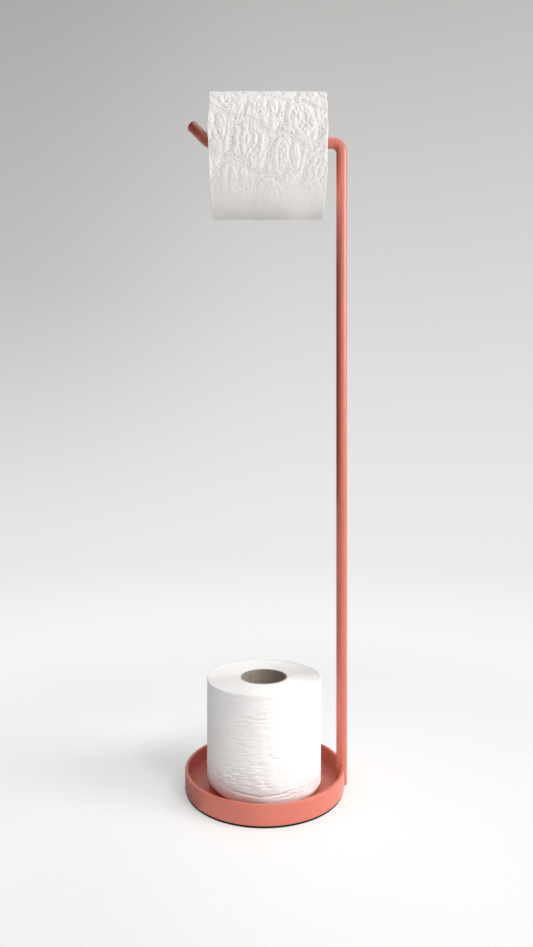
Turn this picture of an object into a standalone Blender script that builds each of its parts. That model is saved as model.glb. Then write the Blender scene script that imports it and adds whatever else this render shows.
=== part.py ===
"""Freestanding toilet roll holder: a round steel tray, one bent steel bar that is both post and arm, and two paper rolls.

Metres, +Z up. The origin is the centre of the pad's underside, on the floor. The post stands on the tray's wall at +X,
and the arm runs back over the tray towards -X. The front of the holder faces -Y.
"""

import math

import bmesh
import bpy

# Clearances, and how far a cutter runs past what it cuts
SEAT_GAP = 0.0003
SCREW_GAP = 0.0002
CUT_OVERRUN = 0.004

# Rolls of paper on their cardboard cores
UPPER_ROLL_DIAMETER = 0.107
UPPER_ROLL_LENGTH = 0.102
UPPER_CORE_BORE = 0.038
SPARE_ROLL_DIAMETER = 0.105
SPARE_ROLL_LENGTH = 0.097
SPARE_CORE_BORE = 0.0406
CORE_WALL = 0.0007
PAPER_EDGE_ROUND = 0.0015
SPARE_FOOT_ROUND = 0.009  # the lower edge of the spare roll is crushed round
SPARE_ROLL_PLACE_SHARES = (-0.03, -0.30)  # of the finger room, from the tray's centre

# Tray and the pad under it
FINGER_ROOM = 0.0175  # between the spare roll and the tray's wall, all round
TRAY_HEIGHT = 0.0175
TRAY_WALL = 0.003
TRAY_FLOOR = 0.0035
TRAY_LIP_ROUND = 0.001
TRAY_HEEL_ROUND = 0.0006
PAD_THICKNESS = 0.0017
PAD_INSET = 0.0008

# Bar that makes the post, the arm and its upturned tip
STAND_HEIGHT = 0.600  # floor to the top of the arm
BAR_DIAMETER = 0.010
BEND_RADIUS = 0.009  # of the bar's centre line
ARM_SIDE_PLAY = 0.0082  # the arm's straight stretch is this much longer than a roll
TIP_ANGLE = math.radians(45)
TIP_LENGTH = 0.0233  # from the corner of the centre line to the cut end

# Set screws that clamp the slotted foot on the tray's wall
SCREW_DIAMETER = 0.003
SCREW_RECESS = 0.0003
SOCKET_WIDTH = 0.0015
SOCKET_DEPTH = 0.0013
SCREW_HEIGHT_SHARES = {"foot_screw_lower": 0.30, "foot_screw_upper": 0.72}  # of the inner prong

# Facets
TURN_STEPS = 96
CORE_STEPS = 64
SCREW_SIDES = 24
BAR_RINGS = 10  # bevel resolution: 24 sides
BEND_STEPS = 10
ROUND_STEPS = 3
FOOT_STEPS = 5
MERGE_DISTANCE = 0.00001

# Sizes that follow from the ones above
bar_radius = BAR_DIAMETER / 2
tray_bottom = PAD_THICKNESS + SEAT_GAP
floor_top = tray_bottom + TRAY_FLOOR
rim_top = tray_bottom + TRAY_HEIGHT
tray_inner_radius = SPARE_ROLL_DIAMETER / 2 + FINGER_ROOM
tray_radius = tray_inner_radius + TRAY_WALL
wall_sag = tray_inner_radius - math.sqrt(tray_inner_radius**2 - bar_radius**2)
slot_inner_x = tray_inner_radius - wall_sag - SEAT_GAP
slot_outer_x = tray_radius + SEAT_GAP
slot_top = rim_top + SEAT_GAP
post_x = (slot_inner_x + slot_outer_x) / 2
arm_z = STAND_HEIGHT - bar_radius
arm_right_x = post_x - BEND_RADIUS
arm_left_x = arm_right_x - UPPER_ROLL_LENGTH - ARM_SIDE_PLAY
tip_corner_x = arm_left_x - BEND_RADIUS * math.tan(TIP_ANGLE / 2)
prong_bottom = floor_top + SEAT_GAP
upper_roll_x = arm_left_x + UPPER_ROLL_LENGTH / 2
upper_roll_z = arm_z - (UPPER_CORE_BORE / 2 - bar_radius - SEAT_GAP)
spare_roll_x = FINGER_ROOM * SPARE_ROLL_PLACE_SHARES[0]
spare_roll_y = FINGER_ROOM * SPARE_ROLL_PLACE_SHARES[1]
spare_roll_z = floor_top + SEAT_GAP + SPARE_ROLL_LENGTH / 2


def clear_scene():
    for old in list(bpy.data.objects):
        bpy.data.objects.remove(old, do_unlink=True)


def new_collection(name):
    collection = bpy.data.collections.new(name)
    bpy.context.scene.collection.children.link(collection)
    return collection


def new_material(name, colour, roughness, metallic=0.0):
    material = bpy.data.materials.new(name)
    material.use_nodes = True
    shader = material.node_tree.nodes["Principled BSDF"]
    shader.inputs["Base Color"].default_value = (*colour, 1)
    shader.inputs["Roughness"].default_value = roughness
    shader.inputs["Metallic"].default_value = metallic
    return material


def new_object(name, mesh, collection, material=None):
    obj = bpy.data.objects.new(name, mesh)
    collection.objects.link(obj)
    if material:
        mesh.materials.append(material)
    return obj


def arc(centre, radius, start, end, steps):
    """Points on an arc, both ends included. Angles are in radians, from the first axis towards the second."""
    turns = [start + (end - start) * i / steps for i in range(steps + 1)]
    return [(centre[0] + radius * math.cos(a), centre[1] + radius * math.sin(a)) for a in turns]


def turned(name, profile, closed, steps, collection, material):
    """A body of revolution about its own Z axis, from (radius, height) points that run down its outer side."""
    mesh = bpy.data.meshes.new(name)
    edges = [(i, i + 1) for i in range(len(profile) - 1)]
    if closed:
        edges.append((len(profile) - 1, 0))
    mesh.from_pydata([(r, 0, z) for r, z in profile], edges, [])
    obj = new_object(name, mesh, collection, material)
    turn = obj.modifiers.new("Turn", "SCREW")
    turn.axis = "Z"
    turn.angle = math.tau
    turn.steps = steps
    turn.render_steps = steps
    turn.use_merge_vertices = True
    turn.merge_threshold = MERGE_DISTANCE
    turn.use_smooth_shade = True
    return obj


def cut(obj, cutter):
    modifier = obj.modifiers.new(cutter.name, "BOOLEAN")
    modifier.operation = "DIFFERENCE"
    modifier.object = cutter


def as_cutter(obj):
    obj.hide_render = True
    obj.display_type = "WIRE"
    return obj


def box_cutter(name, low, high, collection):
    bm = bmesh.new()
    bmesh.ops.create_cube(bm, size=1)
    for v in bm.verts:
        v.co = [low[k] + (v.co[k] + 0.5) * (high[k] - low[k]) for k in range(3)]
    mesh = bpy.data.meshes.new(name)
    bm.to_mesh(mesh)
    bm.free()
    return as_cutter(new_object(name, mesh, collection))


def rod_mesh(name, radius, length, sides):
    """A closed cylinder along X, centred on its own origin."""
    bm = bmesh.new()
    bmesh.ops.create_cone(
        bm, cap_ends=True, segments=sides, radius1=radius, radius2=radius, depth=length
    )
    for v in bm.verts:
        v.co = (v.co.z, v.co.x, v.co.y)
    mesh = bpy.data.meshes.new(name)
    bm.to_mesh(mesh)
    bm.free()
    return mesh


def make_tray(collection, material):
    """Floor and low wall in one piece, open at the top, with a rounded lip."""
    lip = TRAY_LIP_ROUND
    heel = TRAY_HEEL_ROUND
    quarter = math.pi / 2
    profile = [(0, floor_top), (tray_inner_radius, floor_top)]
    profile += arc((tray_inner_radius + lip, rim_top - lip), lip, 2 * quarter, quarter, ROUND_STEPS)
    profile += arc((tray_radius - lip, rim_top - lip), lip, quarter, 0, ROUND_STEPS)
    profile += arc((tray_radius - heel, tray_bottom + heel), heel, 0, -quarter, ROUND_STEPS)
    profile += [(0, tray_bottom)]
    return turned("base_tray", profile, False, TURN_STEPS, collection, material)


def make_pad(collection, material):
    """Anti-slip disc stuck under the tray, a little smaller than it."""
    radius = tray_radius - PAD_INSET
    profile = [(0, PAD_THICKNESS), (radius, PAD_THICKNESS), (radius, 0), (0, 0)]
    return turned("anti_slip_pad", profile, False, TURN_STEPS, collection, material)


def bar_centre_line():
    """Up the post, round the corner, back along the arm, and up into the tip, as (x, z)."""
    quarter = math.pi / 2
    line = [(post_x, tray_bottom)]
    line += arc((arm_right_x, arm_z - BEND_RADIUS), BEND_RADIUS, 0, quarter, BEND_STEPS)
    line += arc(
        (arm_left_x, arm_z + BEND_RADIUS), BEND_RADIUS, -quarter, -quarter - TIP_ANGLE, BEND_STEPS
    )
    tip_end = (
        tip_corner_x - TIP_LENGTH * math.cos(TIP_ANGLE),
        arm_z + TIP_LENGTH * math.sin(TIP_ANGLE),
    )
    return line + [tip_end]


def make_bar(collection, cutters, material):
    """One bent bar, slotted at its foot so that it straddles the tray's wall."""
    line = bar_centre_line()
    curve = bpy.data.curves.new("post_and_arm_line", "CURVE")
    curve.dimensions = "3D"
    curve.bevel_depth = bar_radius
    curve.bevel_resolution = BAR_RINGS
    curve.use_fill_caps = True
    spline = curve.splines.new("POLY")
    spline.points.add(len(line) - 1)
    for point, (x, z) in zip(spline.points, line):
        point.co = (x, 0, z, 1)
    drawn = bpy.data.objects.new("post_and_arm_line", curve)
    collection.objects.link(drawn)
    evaluated = drawn.evaluated_get(bpy.context.evaluated_depsgraph_get())
    mesh = bpy.data.meshes.new_from_object(evaluated)
    bm = bmesh.new()
    bm.from_mesh(mesh)
    bmesh.ops.remove_doubles(bm, verts=bm.verts, dist=MERGE_DISTANCE)
    bmesh.ops.recalc_face_normals(bm, faces=bm.faces)
    bm.to_mesh(mesh)
    bm.free()
    bar = new_object("post_and_arm", mesh, collection, material)
    bar.matrix_world = drawn.matrix_world.copy()
    bpy.data.objects.remove(drawn, do_unlink=True)
    side = bar_radius + CUT_OVERRUN
    low = tray_bottom - CUT_OVERRUN
    slot = box_cutter(
        "foot_slot_cutter", (slot_inner_x, -side, low), (slot_outer_x, side, slot_top), cutters
    )
    trim = box_cutter(
        "inner_prong_cutter", (post_x - side, -side, low), (post_x, side, prong_bottom), cutters
    )
    cut(bar, slot)
    cut(bar, trim)
    mesh.shade_smooth()
    return bar


def make_screws(bar, collection, cutters, material):
    """Hexagon-socket set screws in the inner prong, whose ends press on the wall's inner face."""
    outer_end = post_x - bar_radius + SCREW_RECESS
    inner_end = slot_inner_x
    hole_length = inner_end - outer_end + 2 * CUT_OVERRUN
    for name, share in SCREW_HEIGHT_SHARES.items():
        z = prong_bottom + share * (slot_top - prong_bottom)
        centre = ((outer_end + inner_end) / 2, 0, z)
        hole = new_object(
            name + "_hole_cutter",
            rod_mesh(name + "_hole", SCREW_DIAMETER / 2 + SCREW_GAP, hole_length, SCREW_SIDES),
            cutters,
        )
        hole.location = (inner_end + SEAT_GAP - hole_length / 2, 0, z)
        cut(bar, as_cutter(hole))
        screw = new_object(
            name,
            rod_mesh(name, SCREW_DIAMETER / 2, inner_end - outer_end, SCREW_SIDES),
            collection,
            material,
        )
        screw.location = centre
        socket_radius = SOCKET_WIDTH / math.sqrt(3)
        socket = new_object(
            name + "_socket_cutter",
            rod_mesh(name + "_socket", socket_radius, 2 * SOCKET_DEPTH, 6),
            cutters,
        )
        socket.location = (outer_end, 0, z)
        cut(screw, as_cutter(socket))


def make_roll(prefix, diameter, length, bore, foot_round, collection, materials):
    """A cardboard core and the paper wound on it, both about the Z axis of an empty at the roll's centre."""
    holder = bpy.data.objects.new(prefix, None)
    collection.objects.link(holder)
    half = length / 2
    core_inner = bore / 2
    core_outer = core_inner + CORE_WALL
    core_profile = [(core_inner, half), (core_outer, half), (core_outer, -half), (core_inner, -half)]
    core = turned(prefix + "_core", core_profile, True, CORE_STEPS, collection, materials["core"])
    core.parent = holder
    paper_inner = core_outer + SEAT_GAP
    paper_outer = diameter / 2
    edge = PAPER_EDGE_ROUND
    quarter = math.pi / 2
    paper_profile = [(paper_inner, half)]
    paper_profile += arc((paper_outer - edge, half - edge), edge, quarter, 0, ROUND_STEPS)
    foot_centre = (paper_outer - foot_round, foot_round - half)
    paper_profile += arc(foot_centre, foot_round, 0, -quarter, FOOT_STEPS)
    paper_profile += [(paper_inner, -half)]
    paper = turned(
        prefix + "_paper", paper_profile, True, TURN_STEPS, collection, materials["paper"]
    )
    paper.parent = holder
    return holder


def build():
    clear_scene()
    holder = new_collection("toilet_roll_holder")
    cutters = new_collection("cutters")
    coat = new_material("coral_powder_coat", (0.72, 0.22, 0.16), 0.42, 0.1)
    rubber = new_material("black_pad", (0.02, 0.018, 0.018), 0.8)
    steel = new_material("screw_steel", (0.12, 0.12, 0.13), 0.35, 1.0)
    roll_materials = {
        "paper": new_material("tissue_paper", (0.86, 0.85, 0.84), 0.9),
        "core": new_material("core_cardboard", (0.33, 0.28, 0.23), 0.9),
    }
    make_tray(holder, coat)
    make_pad(holder, rubber)
    bar = make_bar(holder, cutters, coat)
    make_screws(bar, holder, cutters, steel)
    upper = make_roll(
        "upper_roll",
        UPPER_ROLL_DIAMETER,
        UPPER_ROLL_LENGTH,
        UPPER_CORE_BORE,
        PAPER_EDGE_ROUND,
        holder,
        roll_materials,
    )
    upper.location = (upper_roll_x, 0, upper_roll_z)
    upper.rotation_euler = (0, math.pi / 2, 0)
    spare = make_roll(
        "spare_roll",
        SPARE_ROLL_DIAMETER,
        SPARE_ROLL_LENGTH,
        SPARE_CORE_BORE,
        SPARE_FOOT_ROUND,
        holder,
        roll_materials,
    )
    spare.location = (spare_roll_x, spare_roll_y, spare_roll_z)
    cutters.hide_render = True
    bpy.context.view_layer.update()


build()
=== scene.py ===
# Looks of a freestanding toilet roll holder: a coral powder-coated steel tray and bar, with a quilted roll on
# the arm and a spare roll in the tray. Metres, +Z up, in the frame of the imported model.
import math

import bmesh
import bpy
import numpy as np
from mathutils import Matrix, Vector


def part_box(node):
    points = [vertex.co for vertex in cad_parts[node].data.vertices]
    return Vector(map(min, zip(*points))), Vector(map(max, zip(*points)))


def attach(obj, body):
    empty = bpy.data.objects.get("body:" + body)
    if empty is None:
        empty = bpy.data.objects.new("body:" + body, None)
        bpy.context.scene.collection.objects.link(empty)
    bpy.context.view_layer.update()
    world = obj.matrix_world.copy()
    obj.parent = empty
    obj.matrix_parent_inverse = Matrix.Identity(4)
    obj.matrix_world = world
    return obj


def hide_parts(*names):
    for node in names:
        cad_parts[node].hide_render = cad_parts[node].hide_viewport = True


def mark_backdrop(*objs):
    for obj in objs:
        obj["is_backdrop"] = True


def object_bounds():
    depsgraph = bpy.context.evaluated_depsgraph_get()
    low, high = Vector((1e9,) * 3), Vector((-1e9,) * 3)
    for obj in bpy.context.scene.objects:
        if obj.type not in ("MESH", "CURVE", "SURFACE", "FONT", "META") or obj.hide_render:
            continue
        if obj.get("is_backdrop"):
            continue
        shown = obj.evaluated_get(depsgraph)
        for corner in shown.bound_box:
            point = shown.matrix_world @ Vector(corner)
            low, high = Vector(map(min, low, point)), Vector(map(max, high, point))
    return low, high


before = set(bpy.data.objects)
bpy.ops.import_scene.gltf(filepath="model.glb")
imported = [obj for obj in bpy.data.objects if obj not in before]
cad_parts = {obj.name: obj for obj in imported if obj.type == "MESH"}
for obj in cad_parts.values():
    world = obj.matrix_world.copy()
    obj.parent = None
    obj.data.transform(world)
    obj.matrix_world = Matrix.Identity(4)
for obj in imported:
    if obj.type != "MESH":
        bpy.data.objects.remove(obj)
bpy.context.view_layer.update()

scene = bpy.context.scene
scene.view_settings.view_transform = "Standard"


# Camera. A level view from the front, at about half the holder's height, from less than an arm's length away.
eye_point = Vector((0.0018, -0.5906, 0.2888))
lens_mm = 24.23
sensor_mm = 36


def put_in_scene(name, data):
    """An object made of its data, put in the scene."""
    thing = bpy.data.objects.new(name, data)
    scene.collection.objects.link(thing)
    return thing


camera_data = bpy.data.cameras.new("front_camera")
camera_data.lens = lens_mm
camera_data.sensor_width = sensor_mm
camera = put_in_scene("front_camera", camera_data)
camera.location = eye_point
camera.rotation_euler = (math.radians(90), 0, 0)
scene.camera = camera


# Stage. A pale floor that catches the shadow and runs into a round backdrop. The backdrop only shows: the
# light of the dim room passes through it. Gloss shows the half behind the holder, as it would a paper sweep.
floor_radius = 2.0
floor_colour = (0.92, 0.915, 0.91)
bright_floor_centre = (0.55, -0.45, 0.0)  # in this circle the floor throws light on the holder
bright_floor_radius = 1.0
shaded_floor_centre = (-0.092, -0.004, 0.0)  # a patch beside the tray that throws none
shaded_floor_radius = 0.052
floor_fade = (0.17, 0.60)  # how far out the lit floor turns into the glowing sweep
floor_glow_share = 0.30  # of what is seen near the holder
# Painted light: the floor's glow is a little stronger near the holder, fading out to the sweep's own.
floor_glow = 1.13
floor_glow_fade = (0.3, 1.7)
backdrop_bend = 1.0
backdrop_height = 3.4
# Painted shade: the sweep's glow darkens upward and a little towards the far left.
backdrop_shades = (
    (0.0, (0.835, 0.830, 0.825)),
    (0.289, (0.805, 0.798, 0.790)),
    (0.75, (0.755, 0.748, 0.740)),
    (1.26, (0.695, 0.688, 0.680)),
    (2.1, (0.600, 0.593, 0.583)),
    (2.95, (0.505, 0.497, 0.485)),
)
left_shades = (0.95, 0.76)  # how bright the far left is against the middle, at the floor and high up
left_shade_height = 1.3
left_fade = (-1.7, 0.3)  # along X
front_gloss = 0.12  # how much of the sweep in front of the holder gloss shows
gloss_fade = (-0.6, 0.8)  # along Y


def arc(centre, radius, start, end, steps):
    """Points on an arc, both ends included. Angles are in degrees, from the first axis towards the second."""
    turns = np.radians(np.linspace(start, end, steps + 1))
    return [(centre[0] + radius * math.cos(a), centre[1] + radius * math.sin(a)) for a in turns]


def turned_piece(name, profile, steps, material, closed=False):
    """A body of revolution about Z, from (radius, height) points; poles and seam are merged."""
    bm = bmesh.new()
    points = [bm.verts.new((r, 0, z)) for r, z in profile]
    edges = [bm.edges.new(pair) for pair in zip(points, points[1:])]
    if closed:
        edges.append(bm.edges.new((points[-1], points[0])))
    bmesh.ops.spin(
        bm, geom=points + edges, axis=(0, 0, 1), cent=(0, 0, 0), angle=math.tau, steps=steps, use_merge=True
    )
    bmesh.ops.remove_doubles(bm, verts=bm.verts, dist=0.000001)
    bmesh.ops.recalc_face_normals(bm, faces=bm.faces)
    mesh = bpy.data.meshes.new(name)
    bm.to_mesh(mesh)
    bm.free()
    mesh.shade_smooth()
    mesh.set_sharp_from_angle(angle=math.radians(38))
    mesh.materials.append(material)
    return put_in_scene(name, mesh)


def new_material(name):
    """An empty node material; gives it with its tree and its output node."""
    material = bpy.data.materials.new(name)
    material.use_nodes = True
    material.node_tree.nodes.clear()
    output = material.node_tree.nodes.new("ShaderNodeOutputMaterial")
    return material, material.node_tree, output


def add_node(tree, kind, inputs=None, **settings):
    """A node with its settings. Each input is given another node's socket, or a constant."""
    node = tree.nodes.new(kind)
    for key, value in settings.items():
        setattr(node, key, value)
    for key, source in (inputs or {}).items():
        if isinstance(source, bpy.types.NodeSocket):
            tree.links.new(source, node.inputs[key])
        else:
            node.inputs[key].default_value = source
    return node


def maths(tree, operation, first, second):
    """The result of a sum on two values, each a socket or a number."""
    return add_node(tree, "ShaderNodeMath", {0: first, 1: second}, operation=operation).outputs[0]


def ranged(tree, value, over, to, kind="SMOOTHSTEP"):
    """What goes from one end of a range to the other while a value runs over a range of its own."""
    ends = {"Value": value, "From Min": over[0], "From Max": over[1], "To Min": to[0], "To Max": to[1]}
    return add_node(tree, "ShaderNodeMapRange", ends, interpolation_type=kind).outputs[0]


def add_ramp(tree, factor, stops):
    """A colour ramp from (position, colour) stops."""
    ramp = add_node(tree, "ShaderNodeValToRGB", {"Fac": factor})
    elements = ramp.color_ramp.elements
    while len(elements) < len(stops):
        elements.new(0.5)
    for element, (position, colour) in zip(elements, stops):
        element.position = position
        element.color = (*colour, 1)
    return ramp.outputs["Color"]


def sweep_colour(tree):
    """The glowing colour of the pale sweep at a height, with painted shade a little darker to the far left.
    """
    place = add_node(tree, "ShaderNodeTexCoord").outputs["Object"]
    parts = add_node(tree, "ShaderNodeSeparateXYZ", {"Vector": place}).outputs
    stops = [(z / backdrop_height, colour) for z, colour in backdrop_shades]
    shade = add_ramp(tree, maths(tree, "DIVIDE", parts["Z"], backdrop_height), stops)
    darkest = ranged(tree, parts["Z"], (0, left_shade_height), left_shades, "LINEAR")
    side = ranged(tree, parts["X"], left_fade, (darkest, 1))
    grey = add_node(tree, "ShaderNodeCombineColor", {i: side for i in range(3)})
    colours = {"Factor": 1, "A": shade, "B": grey.outputs[0]}
    mixed = add_node(tree, "ShaderNodeMix", colours, data_type="RGBA", blend_type="MULTIPLY")
    return mixed.outputs["Result"], parts, place


def seen_by_eye(tree, depth):
    """1 for rays that show the stage: from the camera, through glass, or off gloss to what is behind."""
    path = add_node(tree, "ShaderNodeLightPath").outputs
    gloss = maths(tree, "MULTIPLY", path["Is Glossy Ray"], ranged(tree, depth, gloss_fade, (front_gloss, 1)))
    direct = maths(tree, "MAXIMUM", path["Is Camera Ray"], gloss)
    return maths(tree, "MAXIMUM", direct, path["Is Transmission Ray"])


def outside(tree, place, centre, radius):
    """1 on the floor outside a circle."""
    away = add_node(tree, "ShaderNodeVectorMath", {0: place, 1: centre}, operation="DISTANCE")
    return maths(tree, "GREATER_THAN", away.outputs["Value"], radius)


floor_material, tree, output = new_material("pale_floor")
colour, parts, place = sweep_colour(tree)
distance = add_node(tree, "ShaderNodeVectorMath", {0: place}, operation="LENGTH").outputs["Value"]
seen = seen_by_eye(tree, parts["Y"])
far_and_seen = maths(tree, "MULTIPLY", ranged(tree, distance, floor_fade, (floor_glow_share, 1)), seen)
lift = ranged(tree, distance, floor_glow_fade, (floor_glow, 1))
unshaded = outside(tree, place, shaded_floor_centre, shaded_floor_radius)
far_off = outside(tree, place, bright_floor_centre, bright_floor_radius)
unlit = maths(tree, "MAXIMUM", far_off, maths(tree, "SUBTRACT", 1, unshaded))
dark = maths(tree, "MULTIPLY", unlit, maths(tree, "SUBTRACT", 1, seen))
paper = add_node(tree, "ShaderNodeBsdfDiffuse", {"Color": (*floor_colour, 1)})
glow = add_node(tree, "ShaderNodeEmission", {"Color": colour, "Strength": lift})
clear = add_node(tree, "ShaderNodeBsdfTransparent", {"Color": unshaded})
near = add_node(tree, "ShaderNodeMixShader", {0: dark, 1: paper.outputs[0], 2: clear.outputs[0]})
mix = add_node(tree, "ShaderNodeMixShader", {0: far_and_seen, 1: near.outputs[0], 2: glow.outputs[0]})
tree.links.new(mix.outputs[0], output.inputs["Surface"])

backdrop_material, tree, output = new_material("pale_backdrop")
colour, parts, place = sweep_colour(tree)
glow = add_node(tree, "ShaderNodeEmission", {"Color": colour})
clear = add_node(tree, "ShaderNodeBsdfTransparent")
seen = seen_by_eye(tree, parts["Y"])
mix = add_node(tree, "ShaderNodeMixShader", {0: seen, 1: clear.outputs[0], 2: glow.outputs[0]})
tree.links.new(mix.outputs[0], output.inputs["Surface"])

floor = turned_piece("floor", [(0, 0), (0.4, 0), (floor_radius, 0)], 96, floor_material)
bend = arc((floor_radius, backdrop_bend), backdrop_bend, -90, 0, 16)
wall_top = (floor_radius + backdrop_bend, backdrop_height)
backdrop = turned_piece("backdrop", bend + [wall_top], 96, backdrop_material)

# Three black cards, out of sight. One beside the bar and one at the front left keep the pale room off the
# shaded sides of the bar and of the upper roll, and a small one shades the tip. Each is an upright panel,
# given by its two ends in plan and by the heights of its lower and upper edges.
card_panels = (
    ((0.030, -0.038), (0.030, 0.038), 0.26, 0.50),
    ((-0.19, -0.50), (-0.19, -0.13), 0.30, 0.90),
    ((-0.062, -0.028), (-0.112, -0.012), 0.575, 0.640),
)
card_colour = (0.015, 0.015, 0.015)
card_material, tree, output = new_material("black_card")
flock = add_node(tree, "ShaderNodeBsdfDiffuse", {"Color": (*card_colour, 1)})
tree.links.new(flock.outputs[0], output.inputs["Surface"])
card_points = []
card_faces = []
for start, end, foot, top in card_panels:
    card_faces.append([len(card_points) + corner for corner in range(4)])
    card_points += [(*start, foot), (*end, foot), (*end, top), (*start, top)]
card_mesh = bpy.data.meshes.new("black_cards")
card_mesh.from_pydata(card_points, [], card_faces)
card_mesh.materials.append(card_material)
card = put_in_scene("black_cards", card_mesh)
card.visible_camera = False
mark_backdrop(floor, backdrop, card)

# Lamps. A window-like lamp to the right and a little in front, soft fill from overhead and from the front,
# and a dim room. A small gridded lamp on the floor gives the upper roll's underside the light that a pale
# floor would, and another lights the tray and the spare roll's foot.
# Each row is a name, a place, an aim, a width, a beam in degrees, watts and a colour.
lamp_table = (
    ("window_lamp", (2.90, -0.80, 1.60), (0, 0, 0.3), 1.45, 180, 69.0, (1.0, 0.99, 0.975)),
    ("overhead_lamp", (0.15, -0.3, 3.2), (0, 0, 0.3), 2.2, 180, 27.5, (0.98, 0.99, 1.0)),
    ("front_lamp", (0.4, -3.0, 1.1), (0, 0, 0.3), 1.8, 180, 15.0, (0.98, 0.99, 1.0)),
    ("bounce_lamp", (0.10, -0.42, 0.03), (0, -0.05, 0.56), 0.40, 50, 0.20, (1.0, 0.99, 0.98)),
    ("low_lamp", (0.75, -0.75, 1.05), (0.01, 0, 0.06), 0.50, 24, 0.27, (1.0, 0.99, 0.975)),
)
room_light = (0.99, 0.995, 1.0)
room_strength = 0.355
for lamp_name, lamp_place, aim_point, lamp_width, beam_deg, lamp_watts, lamp_colour in lamp_table:
    lamp_data = bpy.data.lights.new(lamp_name, "AREA")
    lamp_data.size = lamp_width
    lamp_data.energy = lamp_watts
    lamp_data.color = lamp_colour
    lamp_data.spread = math.radians(beam_deg)
    lamp = put_in_scene(lamp_name, lamp_data)
    lamp.location = lamp_place
    lamp.rotation_euler = (Vector(aim_point) - Vector(lamp_place)).to_track_quat("-Z", "Y").to_euler()
    lamp.visible_camera = False
world = bpy.data.worlds.new("room")
world.use_nodes = True
room = world.node_tree.nodes["Background"].inputs
room["Color"].default_value = (*room_light, 1)
room["Strength"].default_value = room_strength
scene.world = world


# Anti-slip pad. A thin disc of black foam rubber, punched out and glued under the tray, a little inside its
# edge. Its cells are a fraction of a millimetre across.
pad_edge_round = 0.0003
pad_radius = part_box("anti_slip_pad")[1].x
pad_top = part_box("anti_slip_pad")[1].z
cell_density = 1600
cell_shades = [(0.0, (0.010, 0.009, 0.009)), (0.7, (0.026, 0.024, 0.024))]
cell_depth = 0.00015


def add_bump(tree, height, strength, depth, under=None):
    """The normal of a rough surface, from its height and, if there is one, the normal under it."""
    inputs = {"Height": height, "Strength": strength, "Distance": depth}
    if under is not None:
        inputs["Normal"] = under
    return add_node(tree, "ShaderNodeBump", inputs).outputs[0]


def add_surface(tree, output, inputs):
    """The main shader of a material, joined to its output."""
    shader = add_node(tree, "ShaderNodeBsdfPrincipled", inputs)
    tree.links.new(shader.outputs[0], output.inputs["Surface"])


pad_material, tree, output = new_material("foam_rubber")
place = add_node(tree, "ShaderNodeTexCoord").outputs["Object"]
cells = add_node(tree, "ShaderNodeTexVoronoi", {"Vector": place, "Scale": cell_density}).outputs["Distance"]
shade = add_ramp(tree, cells, cell_shades)
normal = add_bump(tree, cells, 0.5, cell_depth)
foam = {"Base Color": shade, "Normal": normal, "Roughness": 0.9, "Specular IOR Level": 0.1}
add_surface(tree, output, foam)

pad_profile = [(0, pad_top)]
pad_profile += arc((pad_radius - pad_edge_round, pad_top - pad_edge_round), pad_edge_round, 90, 0, 3)
pad_profile += arc((pad_radius - pad_edge_round, pad_edge_round), pad_edge_round, 0, -90, 3)
pad_profile += [(0, 0)]
pad = turned_piece("pad_disc", pad_profile, 192, pad_material)
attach(pad, "stand")
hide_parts("anti_slip_pad")


# Tray. Floor and low wall are one piece of steel with a softly rounded lip, blasted and powder-coated coral.
# The coat is satin, with the faint orange peel that powder leaves where it melts.
tray_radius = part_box("base_tray")[1].x
tray_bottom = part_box("base_tray")[0].z
rim_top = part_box("base_tray")[1].z
tray_wall = 0.003
tray_floor = 0.0035
lip_round = 0.001
heel_round = 0.0006
inner_fillet = 0.0009
floor_top = tray_bottom + tray_floor
tray_inner_radius = tray_radius - tray_wall
coral = (0.580, 0.127, 0.080)
coral_light = (0.610, 0.141, 0.091)
coat_roughness = (0.44, 0.52)
peel_depth = 0.00012
grit_depth = 0.00004

coral_material, tree, output = new_material("coral_powder_coat")
place = add_node(tree, "ShaderNodeTexCoord").outputs["Object"]
cloud = add_node(tree, "ShaderNodeTexNoise", {"Vector": place, "Scale": 45, "Detail": 3}).outputs["Fac"]
peel = add_node(tree, "ShaderNodeTexNoise", {"Vector": place, "Scale": 750, "Detail": 2, "Roughness": 0.4})
grit = add_node(tree, "ShaderNodeTexNoise", {"Vector": place, "Scale": 4200, "Detail": 1})
peeled = add_bump(tree, peel.outputs["Fac"], 0.22, peel_depth)
coat = {
    "Base Color": add_ramp(tree, cloud, [(0.3, coral), (0.7, coral_light)]),
    "Roughness": ranged(tree, cloud, (0, 1), coat_roughness, "LINEAR"),
    "Normal": add_bump(tree, grit.outputs["Fac"], 0.12, grit_depth, peeled),
    "Specular IOR Level": 0.75,
    "Coat Weight": 0.55,
    "Coat Roughness": 0.30,
}
add_surface(tree, output, coat)

tray_profile = [(0, floor_top)]
tray_profile += arc((tray_inner_radius - inner_fillet, floor_top + inner_fillet), inner_fillet, -90, 0, 6)
tray_profile += arc((tray_inner_radius + lip_round, rim_top - lip_round), lip_round, 180, 90, 8)
tray_profile += arc((tray_radius - lip_round, rim_top - lip_round), lip_round, 90, 0, 8)
tray_profile += arc((tray_radius - heel_round, tray_bottom + heel_round), heel_round, 0, -90, 5)
tray_profile += [(0, tray_bottom)]
tray = turned_piece("tray_shell", tray_profile, 256, coral_material)
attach(tray, "stand")
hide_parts("base_tray")


# Post and arm. One 10 mm round steel bar: up, bent square into the arm, and bent up again into the tip that
# keeps the roll on. Its foot is slotted over the tray's wall, and it has the tray's coat.
bar_radius = 0.005
bend_radius = 0.009
arm_height = 0.595
post_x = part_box("post_and_arm")[1].x - bar_radius
tip_angle = math.radians(45)
tip_length = 0.0233
tip_end_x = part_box("post_and_arm")[0].x + bar_radius * math.sin(tip_angle)
tip_corner_x = tip_end_x + tip_length * math.cos(tip_angle)
tip_edge_round = 0.0005
foot_clearance = 0.0001
screw_hole_radius = 0.0016
cut_overrun = 0.004


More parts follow.
